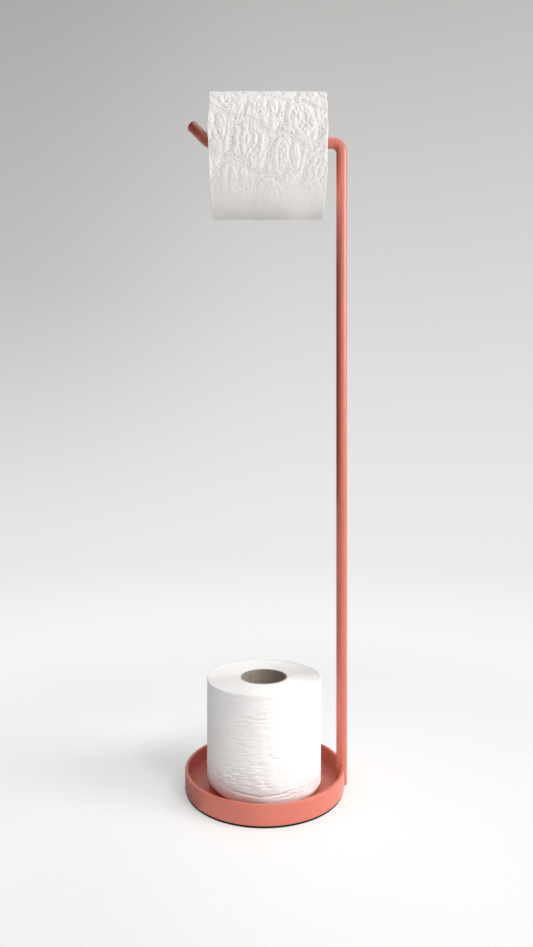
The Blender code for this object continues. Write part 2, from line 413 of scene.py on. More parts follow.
def shape_tree(name, inputs):
    """A Geometry Nodes tree with inputs named by kind; gives the tree, what comes in and its output node."""
    shape = bpy.data.node_groups.new(name, "GeometryNodeTree")
    shape.interface.new_socket("Geometry", in_out="INPUT", socket_type="NodeSocketGeometry")
    shape.interface.new_socket("Geometry", in_out="OUTPUT", socket_type="NodeSocketGeometry")
    for kind, labels in inputs.items():
        for label in labels:
            shape.interface.new_socket(label, in_out="INPUT", socket_type=kind)
    return shape, add_node(shape, "NodeGroupInput").outputs, add_node(shape, "NodeGroupOutput")


def finish_tree(shape, geometry, material_socket, output):
    """Smooth shading, real instances and the material, which every shape tree ends in."""
    smooth = add_node(shape, "GeometryNodeSetShadeSmooth", {"Geometry": geometry})
    real = add_node(shape, "GeometryNodeRealizeInstances", {"Geometry": smooth.outputs[0]})
    coating = {"Geometry": real.outputs[0], "Material": material_socket}
    coated = add_node(shape, "GeometryNodeSetMaterial", coating)
    shape.links.new(coated.outputs[0], output.inputs[0])


def grown_mesh(name, shape, base, values):
    """The plain mesh that a shape tree grows from a base mesh, with its named inputs set."""
    grower = put_in_scene(name + "_base", base)
    modifier = grower.modifiers.new(shape.name, "NODES")
    modifier.node_group = shape
    for item in shape.interface.items_tree:
        if item.in_out == "INPUT" and item.name in values:
            modifier[item.identifier] = values[item.name]
    bpy.context.view_layer.update()
    grown = grower.evaluated_get(bpy.context.evaluated_depsgraph_get())
    mesh = bpy.data.meshes.new_from_object(grown)
    mesh.name = name
    bpy.data.objects.remove(grower, do_unlink=True)
    return mesh


bar_inputs = {
    "NodeSocketFloat": ("Bar Radius", "Bend Radius"),
    "NodeSocketInt": ("Bend Steps", "Sides"),
    "NodeSocketMaterial": ("Coat",),
}
bar_tree, given, output = shape_tree("bent_bar", bar_inputs)
path = add_node(bar_tree, "GeometryNodeMeshToCurve", {"Mesh": given["Geometry"]})
bends = {"Curve": path.outputs[0], "Radius": given["Bend Radius"], "Count": given["Bend Steps"]}
bent = add_node(bar_tree, "GeometryNodeFilletCurve", bends, mode="POLY")
circle = {"Radius": given["Bar Radius"], "Resolution": given["Sides"]}
section = add_node(bar_tree, "GeometryNodeCurvePrimitiveCircle", circle)
sweep = {"Curve": bent.outputs[0], "Profile Curve": section.outputs[0], "Fill Caps": True}
swept = add_node(bar_tree, "GeometryNodeCurveToMesh", sweep)
finish_tree(bar_tree, swept.outputs[0], given["Coat"], output)

bar_line = bpy.data.meshes.new("bar_line")
bar_corners = [
    (post_x, 0, tray_bottom),
    (post_x, 0, arm_height),
    (tip_corner_x, 0, arm_height),
    (tip_end_x, 0, arm_height + tip_length * math.sin(tip_angle)),
]
bar_line.from_pydata(bar_corners, [(0, 1), (1, 2), (2, 3)], [])
bar_values = {
    "Bar Radius": bar_radius,
    "Bend Radius": bend_radius,
    "Bend Steps": 18,
    "Sides": 64,
    "Coat": coral_material,
}
bar_mesh = grown_mesh("bent_bar", bar_tree, bar_line, bar_values)
bm = bmesh.new()
bm.from_mesh(bar_mesh)
bmesh.ops.remove_doubles(bm, verts=bm.verts, dist=0.000001)
bmesh.ops.recalc_face_normals(bm, faces=bm.faces)
tip_caps = [f for f in bm.faces if len(f.verts) > 8 and f.calc_center_median().x < 0]
rim_edges = [e for f in tip_caps for e in f.edges]
bmesh.ops.bevel(bm, geom=rim_edges, offset=tip_edge_round, segments=4, profile=0.5, affect="EDGES")
bm.to_mesh(bar_mesh)
bm.free()
bar = put_in_scene("bent_bar", bar_mesh)

wall_outer = tray_radius + foot_clearance
wall_inner = tray_inner_radius - foot_clearance
slot_profile = [
    (0, tray_bottom - cut_overrun),
    (wall_outer, tray_bottom - cut_overrun),
    (wall_outer, rim_top + foot_clearance),
    (wall_inner, rim_top + foot_clearance),
    (wall_inner, floor_top + foot_clearance),
    (0, floor_top + foot_clearance),
]
cutters = [turned_piece("foot_slot", slot_profile, 256, coral_material)]
for screw in ("foot_screw_lower", "foot_screw_upper"):
    low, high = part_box(screw)
    hole_half = high.x - low.x
    hole_profile = [(0, hole_half), (screw_hole_radius, hole_half)]
    hole_profile += [(screw_hole_radius, -hole_half), (0, -hole_half)]
    hole = turned_piece(screw + "_hole", hole_profile, 32, coral_material)
    hole.data.transform(Vector((1, 0, 0)).to_track_quat("Z", "Y").to_matrix().to_4x4())
    for v in hole.data.vertices:
        v.co += Vector((low.x, 0, (low.z + high.z) / 2))
    cutters.append(hole)
for cutter in cutters:
    cut = bar.modifiers.new(cutter.name, "BOOLEAN")
    cut.operation = "DIFFERENCE"
    cut.object = cutter
bpy.context.view_layer.update()
cut_mesh = bpy.data.meshes.new_from_object(bar.evaluated_get(bpy.context.evaluated_depsgraph_get()))
bar.modifiers.clear()
bar.data = cut_mesh
for cutter in cutters:
    bpy.data.objects.remove(cutter, do_unlink=True)
bar.data.shade_smooth()
bar.data.set_sharp_from_angle(angle=math.radians(38))
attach(bar, "stand")
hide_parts("post_and_arm")


# Set screws. Two small blackened steel screws with hexagon sockets, in the inner prong of the foot; they
# press on the wall's inner face and clamp the bar to the tray.
steel_shades = [(0.3, (0.07, 0.07, 0.075)), (0.7, (0.16, 0.16, 0.17))]
steel_roughness = (0.28, 0.45)
turning_marks = (400, 9000, 9000)  # how often they repeat in a metre, along the screw and across it
turning_depth = 0.00003

steel_material, tree, output = new_material("blackened_steel")
place = add_node(tree, "ShaderNodeTexCoord").outputs["Object"]
stretched = add_node(tree, "ShaderNodeMapping", {"Vector": place, "Scale": turning_marks})
noise = {"Vector": stretched.outputs[0], "Scale": 1, "Detail": 3}
scratch = add_node(tree, "ShaderNodeTexNoise", noise).outputs["Fac"]
steel = {
    "Base Color": add_ramp(tree, scratch, steel_shades),
    "Roughness": ranged(tree, scratch, (0, 1), steel_roughness, "LINEAR"),
    "Normal": add_bump(tree, scratch, 0.2, turning_depth),
    "Metallic": 1,
}
add_surface(tree, output, steel)
for screw in ("foot_screw_lower", "foot_screw_upper"):
    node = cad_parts[screw]
    for material_slot in node.material_slots:
        material_slot.material = steel_material


# Cardboard cores. Grey-brown tubes of two thin plies wound in a helix, whose lapped seam shows as a slanting
# step inside the tube. The paper is wound straight on them.
core_wall = 0.0007
core_ply_step = 0.00022
core_seam_pitch = 0.085  # the seam climbs this far in one turn
core_columns = 120
core_rows = 48
seam_width = 0.02  # in radians
board_shades = [(0.3, (0.265, 0.215, 0.172)), (0.7, (0.365, 0.310, 0.262))]
pressed_and_pit_shade_level = 0.78  # painted shade in the emboss's pits, partly for their pressed plies: how bright paper is there

fibre_group = bpy.data.node_groups.new("pulp_fibres", "ShaderNodeTree")
fibre_group.interface.new_socket("Vector", in_out="INPUT", socket_type="NodeSocketVector")
for label, start in (("Grain Scale", 1200.0), ("Mottle Scale", 120.0)):
    socket = fibre_group.interface.new_socket(label, in_out="INPUT", socket_type="NodeSocketFloat")
    socket.default_value = start
for label in ("Height", "Mottle"):
    fibre_group.interface.new_socket(label, in_out="OUTPUT", socket_type="NodeSocketFloat")
given = add_node(fibre_group, "NodeGroupInput").outputs
output = add_node(fibre_group, "NodeGroupOutput")
fine = {"Vector": given["Vector"], "Scale": given["Grain Scale"], "Detail": 3, "Roughness": 0.6}
grain = add_node(fibre_group, "ShaderNodeTexNoise", {**fine, "Distortion": 0.6})
coarse = {"Vector": given["Vector"], "Scale": given["Mottle Scale"], "Detail": 4, "Roughness": 0.65}
mottle = add_node(fibre_group, "ShaderNodeTexNoise", coarse)
fibre_group.links.new(grain.outputs["Fac"], output.inputs["Height"])
fibre_group.links.new(mottle.outputs["Fac"], output.inputs["Mottle"])


def pulp_material(name, stops, grain_scale, mottle_scale, bump_strength, bump_depth):
    """A dull paper or board, mottled between two colours, with a fibre grain; painted shade darkens its
    pressed pits.
    """
    material, tree, output = new_material(name)
    place = add_node(tree, "ShaderNodeTexCoord").outputs["Object"]
    scales = {"Vector": place, "Grain Scale": grain_scale, "Mottle Scale": mottle_scale}
    fibres = add_node(tree, "ShaderNodeGroup", scales, node_tree=fibre_group).outputs
    shade = add_ramp(tree, fibres["Mottle"], stops)
    # Painted shade: the emboss's pits are darkened for the shade in them, and a little for their pressed
    # plies.
    pressed_and_pit_shade = add_node(tree, "ShaderNodeAttribute", attribute_name="pressed_and_pit_shade").outputs["Fac"]
    pressed_and_pit_darkening = ranged(tree, pressed_and_pit_shade, (0, 1), (1, pressed_and_pit_shade_level), "LINEAR")
    shaded = add_node(tree, "ShaderNodeVectorMath", {0: shade, "Scale": pressed_and_pit_darkening}, operation="SCALE")
    pulp = {
        "Base Color": shaded.outputs["Vector"],
        "Normal": add_bump(tree, fibres["Height"], bump_strength, bump_depth),
        "Roughness": 0.95,
        "Specular IOR Level": 0.15,
        "Sheen Weight": 0.35,
        "Sheen Roughness": 0.5,
    }
    add_surface(tree, output, pulp)
    return material


board_material = pulp_material("core_cardboard", board_shades, 1500, 260, 0.5, 0.0001)


class RollPlace:
    """Where a roll lies: its centre, and the directions of its angle 0, its angle 90 and its axis."""

    def __init__(self, node, angle_zero, angle_ninety, axis):
        low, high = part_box(node)
        self.centre = np.array((low + high) / 2)
        self.angle_zero = np.array(angle_zero)
        self.angle_ninety = np.array(angle_ninety)
        self.axis = np.array(axis)
        size = np.array(high - low)
        self.half_length = float(abs(size @ self.axis)) / 2
        self.radius = float(abs(size @ self.angle_zero)) / 2

    def points(self, radius, angle, along):
        """Places in the frame from radius, angle in radians and distance along the axis."""
        radius, angle, along = np.broadcast_arrays(radius, angle, along)
        out = self.centre + radius[..., None] * np.cos(angle)[..., None] * self.angle_zero
        out = out + radius[..., None] * np.sin(angle)[..., None] * self.angle_ninety
        return out + along[..., None] * self.axis


# Angles of the upper roll run from its top over its front; those of the spare roll from +X, seen from above.
upper_directions = ((0.0, 0.0, 1.0), (0.0, -1.0, 0.0), (1.0, 0.0, 0.0))
spare_directions = ((1.0, 0.0, 0.0), (0.0, 1.0, 0.0), (0.0, 0.0, 1.0))


def mesh_piece(name, points, quads, triangles, material):
    """A smooth piece from numpy points and faces."""
    faces = [tuple(f) for f in quads.tolist()] + [tuple(f) for f in triangles]
    mesh = bpy.data.meshes.new(name)
    mesh.from_pydata(points.reshape(-1, 3).tolist(), [], faces)
    mesh.validate()
    mesh.shade_smooth()
    mesh.materials.append(material)
    return put_in_scene(name, mesh)


def grid_quads(rows, columns, first, wrap=False):
    """Quads between the points of a grid, stored row by row from index first."""
    row = np.arange(rows if wrap else rows - 1)[:, None]
    column = np.arange(columns - 1)[None, :]
    after = (row + 1) % rows
    corners = [row * columns + column, after * columns + column]
    corners += [after * columns + column + 1, row * columns + column + 1]
    return first + np.stack(np.broadcast_arrays(*corners), axis=-1).reshape(-1, 4)


def core_tube(name, node, body, directions):
    """A wound tube with a step inside where its ply laps, in place of one of the model's cores."""
    place = RollPlace(node, *directions)
    turn = np.linspace(0, math.tau - seam_width, core_columns - 1)
    turn = np.append(turn, math.tau - seam_width / 2)
    along = np.linspace(-place.half_length, place.half_length, core_rows)
    angle = turn[:, None] + along[None, :] * math.tau / core_seam_pitch
    climb = np.append(np.linspace(0, 1, core_columns - 1), 1)[:, None] + 0 * along[None, :]
    inner_radius = place.radius - core_wall + core_ply_step * climb
    outer = place.points(place.radius + 0 * angle, angle, along[None, :])
    inner = place.points(inner_radius, angle, along[None, :])
    count = core_columns * core_rows
    outer_quads = grid_quads(core_columns, core_rows, 0, wrap=True)
    inner_quads = grid_quads(core_columns, core_rows, count, wrap=True)[:, ::-1]
    here = np.arange(core_columns) * core_rows
    after = np.roll(here, -1)
    low_rim = np.stack([after, here, here + count, after + count], axis=-1)
    high_rim = np.stack([here, after, after + count, here + count], axis=-1) + core_rows - 1
    quads = np.concatenate([outer_quads, inner_quads, low_rim, high_rim])
    points = np.concatenate([outer.reshape(-1, 3), inner.reshape(-1, 3)])
    tube = mesh_piece(name, points, quads, [], board_material)
    tube.data.set_sharp_from_angle(angle=math.radians(50))
    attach(tube, body)
    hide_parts(node)


core_tube("upper_core_tube", "upper_roll_core", "upper_roll", upper_directions)
core_tube("spare_core_tube", "spare_roll_core", "spare_roll", spare_directions)


# Wound laps. Under its outermost sheets each roll is one long web of tissue wound on the core in a spiral;
# its edges show on the end faces, each lap a touch higher or lower than the next.
lap_pitch = 0.0005
lap_gap = 0.00003
lap_round = 0.00009
lap_points = 96
lap_unevenness = 0.00035
lap_wave_scale = 22.0  # of the unevenness, in waves a metre of web
core_seat = 0.00015
lap_end_inset = 0.0003  # the web is this much short of the sheets at each end
quilted_shades = [(0.3, (0.840, 0.812, 0.795)), (0.7, (0.890, 0.866, 0.851))]
plain_shades = [(0.3, (0.865, 0.845, 0.832)), (0.7, (0.910, 0.893, 0.882))]

quilted_material = pulp_material("quilted_tissue", quilted_shades, 1900, 60, 0.45, 0.00012)
plain_material = pulp_material("plain_tissue", plain_shades, 2300, 70, 0.40, 0.0001)

web_sizes = ("Turns", "First Radius", "Last Radius", "Thickness", "Length", "Edge Round")
laps_inputs = {
    "NodeSocketFloat": (*web_sizes, "Unevenness", "Wave Scale"),
    "NodeSocketInt": ("Points A Turn",),
    "NodeSocketMaterial": ("Paper",),
}
laps_tree, given, output = shape_tree("wound_laps", laps_inputs)
web = {
    "Resolution": given["Points A Turn"],
    "Rotations": given["Turns"],
    "Start Radius": given["First Radius"],
    "End Radius": given["Last Radius"],
    "Height": 0,
}
spiral = add_node(laps_tree, "GeometryNodeCurveSpiral", web)
web_length = add_node(laps_tree, "GeometryNodeSplineParameter").outputs["Length"]
noise = {"W": maths(laps_tree, "MULTIPLY", web_length, given["Wave Scale"]), "Scale": 1, "Detail": 2}
wave = add_node(laps_tree, "ShaderNodeTexNoise", noise, noise_dimensions="1D").outputs["Fac"]
rise = maths(laps_tree, "MULTIPLY", maths(laps_tree, "SUBTRACT", wave, 0.5), given["Unevenness"])
offset = add_node(laps_tree, "ShaderNodeCombineXYZ", {"Z": rise})
raising = {"Geometry": spiral.outputs[0], "Offset": offset.outputs[0]}
uneven = add_node(laps_tree, "GeometryNodeSetPosition", raising)
upright = add_node(laps_tree, "GeometryNodeSetCurveNormal", {"Curve": uneven.outputs[0]}, mode="Z_UP")
strip_size = {"Width": given["Thickness"], "Height": given["Length"]}
strip = add_node(laps_tree, "GeometryNodeCurvePrimitiveQuadrilateral", strip_size)
softening = {"Curve": strip.outputs[0], "Radius": given["Edge Round"], "Count": 1}
soft_strip = add_node(laps_tree, "GeometryNodeFilletCurve", softening, mode="POLY")
sweep = {"Curve": upright.outputs[0], "Profile Curve": soft_strip.outputs[0], "Fill Caps": True}
swept = add_node(laps_tree, "GeometryNodeCurveToMesh", sweep)
finish_tree(laps_tree, swept.outputs[0], given["Paper"], output)


def wound_laps(name, first_radius, last_radius, last_deg, half_length, material):
    """The mesh of the spiral of laps of one roll, and its points' radius, angle and place along the roll."""
    values = {
        "Turns": (last_radius - first_radius) / lap_pitch,
        "Points A Turn": lap_points,
        "First Radius": first_radius,
        "Last Radius": last_radius,
        "Thickness": lap_pitch - lap_gap,
        "Length": 2 * half_length - lap_unevenness,
        "Edge Round": lap_round,
        "Unevenness": lap_unevenness,
        "Wave Scale": lap_wave_scale,
        "Paper": material,
    }
    mesh = grown_mesh(name, laps_tree, bpy.data.meshes.new(name + "_start"), values)
    flat = np.empty(len(mesh.vertices) * 3)
    mesh.vertices.foreach_get("co", flat)
    spread = flat.reshape(-1, 3)
    radius = np.hypot(spread[:, 0], spread[:, 1])
    angle = -np.arctan2(spread[:, 1], spread[:, 0])  # so that the radius grows with the angle
    angle += math.radians(last_deg) - angle[np.argmax(radius)]
    return mesh, radius, angle, spread[:, 2]


def placed_laps(name, mesh, points, body, node):
    """Puts the laps' points in place, turns their faces outward and makes the piece ride on its body."""
    mesh.vertices.foreach_set("co", points.ravel())
    bm = bmesh.new()
    bm.from_mesh(mesh)
    bmesh.ops.recalc_face_normals(bm, faces=bm.faces)
    bm.to_mesh(mesh)
    bm.free()
    mesh.set_sharp_from_angle(angle=math.radians(80))
    laps = put_in_scene(name, mesh)
    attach(laps, body)
    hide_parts(node)


# Outer sheets, as they are made for both rolls: thin, closed, embossed sheets that follow the end of the
# spiral, parted at the perforations. A sheet is a fine grid outside and a coarser one inside, joined all
# round.
sheet_step = 0.00046
inner_stride = 9
lap_drop = 0.00045  # a full turn of the outer sheets sinks this far


def crumple(across, along, shortest, longest, stretch, count, seed):
    """Soft lumps from waves that run every way, stretched along. Mostly from -2 to 2, about 0 on average."""
    random = np.random.default_rng(seed)
    total = np.zeros(np.broadcast(across, along).shape)
    for _ in range(count):
        wave_length = math.exp(random.uniform(math.log(shortest), math.log(longest)))
        heading = random.uniform(0, math.tau)
        phase = random.uniform(0, math.tau)
        travel = across * math.cos(heading) + along * math.sin(heading) / stretch
        total += np.sin(math.tau * travel / wave_length + phase)
    return total / math.sqrt(count / 2)


def valleys(lumps, width):
    """Narrow creases, 0 to 1, where a field of lumps passes through its middle."""
    return np.exp(-((lumps / width) ** 2))


def smooth_step(value, start, end):
    """0 up to the start and 1 from the end on, with a soft rise between them."""
    t = np.clip((value - start) / (end - start), 0, 1)
    return t * t * (3 - 2 * t)


def zipped(first, second):
    """Triangles between two rows of point numbers that run side by side, of unlike counts."""
    made = []
    first_last = len(first) - 1
    second_last = len(second) - 1
    i = j = 0
    while i < first_last or j < second_last:
        ahead = j == second_last or (i + 1) / first_last <= (j + 1) / second_last
        if i < first_last and ahead:
            made.append((first[i], second[j], first[i + 1]))
            i += 1
        else:
            made.append((first[i], second[j], second[j + 1]))
            j += 1
    return made


def closed_sheet(name, outer, inner, pressed_and_pit_shade, material):
    """A closed piece from an outer grid, marked where painted shade darkens its pressed pits, and an inner
    one with fewer columns.
    """
    rows, columns = outer.shape[:2]
    inner_columns = inner.shape[1]
    count = rows * columns
    outer_quads = grid_quads(rows, columns, 0)
    inner_quads = grid_quads(rows, inner_columns, count)[:, ::-1]
    row = np.arange(rows)
    left = np.stack([row[:-1] * columns, count + row[:-1] * inner_columns], axis=-1)
    left_next = np.stack([row[1:] * columns, count + row[1:] * inner_columns], axis=-1)
    low_rim = np.stack([left[:, 0], left[:, 1], left_next[:, 1], left_next[:, 0]], axis=-1)
    high_rim = low_rim[:, ::-1].copy()
    outer_side = high_rim < count
    high_rim += np.where(outer_side, columns - 1, inner_columns - 1)
    outer_start = np.arange(columns)
    inner_start = count + np.arange(inner_columns)
    outer_end = outer_start + (rows - 1) * columns
    inner_end = inner_start + (rows - 1) * inner_columns
    ends = [t[::-1] for t in zipped(outer_start.tolist(), inner_start.tolist())]
    ends += zipped(outer_end.tolist(), inner_end.tolist())
    quads = np.concatenate([outer_quads, inner_quads, low_rim, high_rim])
    points = np.concatenate([outer.reshape(-1, 3), inner.reshape(-1, 3)])
    sheet = mesh_piece(name, points, quads, ends, material)
    sheet.data.set_sharp_from_angle(angle=math.radians(75))
    # The marks carry the painted shade of the emboss's pits to the material.
    marks = np.zeros(len(points))
    marks[:count] = pressed_and_pit_shade.ravel()
    sheet.data.attributes.new("pressed_and_pit_shade", "FLOAT", "POINT").data.foreach_set("value", marks)
    return sheet


def raised_sheet(name, place, profile, angle, height, thickness, pressed_and_pit_shade, material):
    """A closed sheet of a roll, raised by its emboss outside, and smooth and a thickness deeper inside."""
    r, z, nr, nz = profile
    kept = np.append(np.arange(0, r.shape[1] - 1, inner_stride), r.shape[1] - 1)
    outer = place.points(r + nr * height, angle, z + nz * height)
    inner_r = (r - nr * thickness)[:, kept]
    inner_z = (z - nz * thickness)[:, kept]
    inner = place.points(inner_r, np.broadcast_to(angle, r.shape)[:, kept], inner_z)
    return closed_sheet(name, outer, inner, pressed_and_pit_shade, material)


def edge_profile(radius, half_length, low_round, high_round, rows_low, rows_high, rows_side):
    """Radius, place along the axis, and outward normal, across a roll whose two outer edges are rounded."""
    low = np.linspace(0, math.pi / 2, rows_low, endpoint=False)[None, :]
    high = np.linspace(math.pi / 2, 0, rows_high + 1)[None, 1:]
    share = np.linspace(0, 1, rows_side)[None, :]
    low_round = np.asarray(low_round)[:, None]
    start = -half_length + low_round
    end = half_length - high_round
    low_r = radius - low_round + low_round * np.sin(low)
    high_r = radius - high_round + high_round * np.sin(high)
    low_z = start - low_round * np.cos(low)
    side_z = start + share * (end - start)
    high_z = end + high_round * np.cos(high)
    made = []
    for line in (
        (low_r, radius + 0 * share, high_r),
        (low_z, side_z, high_z),
        (np.sin(low), 1 + 0 * share, np.sin(high)),
        (-np.cos(low), 0 * share, np.cos(high)),
    ):
        made.append(np.concatenate([part + 0 * low_round for part in line], axis=1))
    return made


# Upper roll. Soft quilted tissue that unrolls over the top and down the front, and ends under the roll. The
# emboss is a slanting trellis, each cell outlined in dots and holding twin ovals or a wreath. The outermost
# turn is in three lengths; its left edge stands out a little, as the outer laps of a handled roll do.
upper_edge_round = 0.0010
upper_relief = 0.0001  # room that the emboss takes above the wound surface
upper_thickness = 0.0014
flap_thickness = 0.0004
flap_end_deg = 205.0
flap_thin_deg = (140.0, 165.0)
upper_joints_deg = (30.0, -72.5)
overlap_deg = 32.0
perforations_deg = (78.6, -47.8)
perforation_pitch = 2.4  # in millimetres, as the next one
perforation_radius = 53
left_reach = (0.00080, 0.00035)  # how far the left edge stands out, and how unevenly
left_reach_mm = (20, 50.5)  # left of the roll's middle
left_reach_deg = (-85, -25)
flap_lift = 0.00012
flap_curl = 0.0002
flap_curl_deg = 7
flat_share = 0.22  # of the emboss, on the part that lies under the outermost lap
deep_deg = (80, 130)  # the emboss grows deeper over this stretch of the front
soft_deg = (136, 151)  # and is worn soft past this one
height_room = 0.1  # above the surface, in millimetres
# Trellis, in millimetres on the unrolled sheet: x along the roll's axis, s down its front
trellis_point = (6.9, 87.5)
trellis_across = (31.2, 13.0)
trellis_down = (12.5, -32.5)
trellis_waves = (-0.045, -0.055)
cell_round = 4.5
arch_round = 13.0  # of each cell's upper left corner
cell_puff = 0.42
cell_puff_width = 3.6
line_depth = 0.20
row_inset = 1.25
dot_pitch = 2.6
dot_size = 0.42
dot_depth = 0.60
knot_dots = ((0, 0), (1.9, 0.9), (-1.8, -0.7), (-0.6, 1.9), (0.7, -1.8))
petal_rise = 0.40
petal_groove = 0.34
wreath_size = (8.6, 12.0)
wreath_beads = 15
wreath_rise = 0.18
wreath_bead_rise = 0.20
wreath_groove = 0.26
motif_fade = (1.6, 3.4)  # from the cell's outline
# Waves of a handled sheet: the shortest and the longest in millimetres, how stretched, how many, and the seed
bend_across = (8, 20, 1, 12, 31)
bend_down = (8, 20, 1, 12, 32)
depth_patches = (18, 45, 1, 8, 33)
small_lumps = (2.6, 5.5, 1.4, 34, 34)
soft_folds = (8, 18, 1.9, 16, 35)
wide_lumps = (4.5, 10, 3, 18, 36)
fine_lumps = (1.5, 2.8, 1, 30, 37)
left_edge_waves = (16, 48, 1, 7, 38)
curl_waves = (18, 60, 1, 6, 39)
tear_waves = (9, 40, 1, 6, 40)


def trellis(x, s):
    """Cell numbers and, in millimetres, the distances to the trellis's two sets of lines and along them."""
    (ax, as_), (bx, bs) = trellis_across, trellis_down
    determinant = ax * bs - as_ * bx
    dx, ds = x - trellis_point[0], s - trellis_point[1]
    a = (dx * bs - ds * bx) / determinant
    b = (ax * ds - as_ * dx) / determinant
    wavy_a = a + trellis_waves[0] * np.sin(math.tau * b)
    wavy_b = b + trellis_waves[1] * np.sin(math.tau * a)
    across = math.hypot(ax, as_)
    down = math.hypot(bx, bs)
    from_a = (wavy_a - np.round(wavy_a)) * abs(determinant) / down
    from_b = (wavy_b - np.round(wavy_b)) * abs(determinant) / across
    return np.floor(wavy_a), np.floor(wavy_b), from_a, from_b, b * down, a * across


def petal(dx, ds, centre, half_size, tilt_deg):
    """A puffed oval and the soft groove round it."""
    c, n = math.cos(math.radians(tilt_deg)), math.sin(math.radians(tilt_deg))
    u = ((dx - centre[0]) * c + (ds - centre[1]) * n) / half_size[0]
    v = (-(dx - centre[0]) * n + (ds - centre[1]) * c) / half_size[1]
    f = np.sqrt(u * u + v * v)
    puff = np.clip(1 - f * f, 0, 1) ** 0.8
    groove = np.exp(-(((f - 1.1) * min(half_size) / (0.5 + 0.11 * min(half_size))) ** 2))
    return petal_rise * puff - petal_groove * groove


def wreath(dx, ds, half_width, half_height, beads):
    """A ring of beads, with a groove outside it."""
    f = np.hypot(dx / half_width, ds / half_height)
    around = np.arctan2(ds / half_height, dx / half_width)
    ring = np.exp(-(((f - 1) * half_width / 1.5) ** 2))
    groove = np.exp(-(((f - 1.26) * half_width / 1.1) ** 2))
    return ring * (wreath_rise + wreath_bead_rise * np.cos(beads * around)) - wreath_groove * groove


twin_ovals = (
    ((-4.4, -2.4), (4.3, 11.6), 3),
    ((5.6, -3.4), (4.1, 11.2), -4),
    ((-4.8, -6.2), (1.3, 3.6), 4),
    ((-3.4, -0.2), (1.2, 2.6), -16),
    ((5.4, -5.0), (1.2, 4.2), -4),
    ((-4.4, 5.2), (1.8, 2.0), 0),
    ((4.6, 3.4), (1.5, 1.9), 0),
    ((0.6, 9.6), (1.7, 1.8), 0),
    ((5.6, 9.8), (1.4, 1.5), 0),
)
wreath_inside = (
    ((-3.4, -2.8), (2.1, 5.4), 8),
    ((2.6, -3.2), (2.0, 5.6), -9),
    ((-1.6, 5.4), (1.8, 2.1), 12),
    ((3.4, 4.9), (1.7, 2.1), -8),
    ((0.8, 9.2), (1.5, 1.5), 0),
    ((-0.4, 1.6), (0.9, 1.1), 0),
)
motif_place = (1.0, -0.6)  # off the cell's centre


def quilting(x, s):
    """Height of the emboss in millimetres, from about -0.6 to 0.3, and where its dots are, 0 to 1."""
    cell_a, cell_b, from_a, from_b, travel_a, travel_b = trellis(x, s)
    side_a, side_b = np.abs(from_a), np.abs(from_b)
    corner = np.where((from_a > 0) & (from_b < 0), arch_round, cell_round)
    nearest = np.minimum(side_a, side_b)
    rounded = corner - np.hypot(np.clip(corner - side_a, 0, None), np.clip(corner - side_b, 0, None))
    inside = np.where(nearest > corner, nearest, rounded)
    puff = 1 - np.exp(-((np.clip(inside, 0, None) / cell_puff_width) ** 2))
    travel = np.where(side_a < side_b, travel_a, travel_b)
    step = ((travel / dot_pitch) % 1 - 0.5) * dot_pitch
    dots = np.exp(-((inside - row_inset) ** 2 + step**2) / (2 * dot_size**2))
    for along_a, along_b in knot_dots:
        dots += np.exp(-((from_a - along_a) ** 2 + (from_b - along_b) ** 2) / (2 * dot_size**2))
    dots = np.minimum(dots, 1)
    centre_x = trellis_point[0] + (cell_a + 0.5) * trellis_across[0] + (cell_b + 0.5) * trellis_down[0]
    centre_s = trellis_point[1] + (cell_a + 0.5) * trellis_across[1] + (cell_b + 0.5) * trellis_down[1]
    dx, ds = x - centre_x - motif_place[0], s - centre_s - motif_place[1]
    ovals = sum(petal(dx, ds, *shape) for shape in twin_ovals)
    ring = wreath(dx, ds, *wreath_size, wreath_beads) + sum(petal(dx, ds, *shape) for shape in wreath_inside)
    motif = np.where((cell_a + cell_b) % 2 == 0, ring, ovals) * smooth_step(inside, *motif_fade)
    return cell_puff * puff - line_depth + motif - dot_depth * dots, dots


def handled(x, s, degrees):
    """The emboss as it is on a handled roll: a little bent, uneven in depth, lightly crumpled all over."""
    bent_x = x + 0.45 * crumple(x, s, *bend_across)
    bent_s = s + 0.55 * crumple(x, s, *bend_down)
    depth = 0.88 + 0.22 * np.clip(crumple(x, s, *depth_patches), -1, 1)
    height, dots = quilting(bent_x, bent_s)
    height = height * depth
    height += 0.048 * crumple(x, s, *small_lumps)
    height -= 0.06 * valleys(crumple(x, s, *soft_folds), 0.26)
    height += 0.13 * crumple(x, s, *wide_lumps) * (0.6 + 0.4 * smooth_step(degrees, 115, 60))
    height += 0.026 * crumple(x, s, *fine_lumps)
    for perforation in perforations_deg:
        off = np.radians(degrees - perforation) * perforation_radius
        nicks = 0.5 + 0.5 * np.cos(math.tau * x / perforation_pitch)
        height -= 0.10 * np.exp(-((off / 0.4) ** 2)) * nicks
    return height, dots * depth


def sheet_grid(place, surface, start_deg, end_deg):
    """How far round a sheet each of its rows lies, 0 to 1, its angle in degrees, and the points across."""
    rows = int(round(surface * math.radians(end_deg - start_deg) / sheet_step)) + 1
    share = np.linspace(0, 1, rows)[:, None]
    across = int(round(2 * place.half_length / sheet_step)) + 1
    return share, start_deg + share * (end_deg - start_deg), across


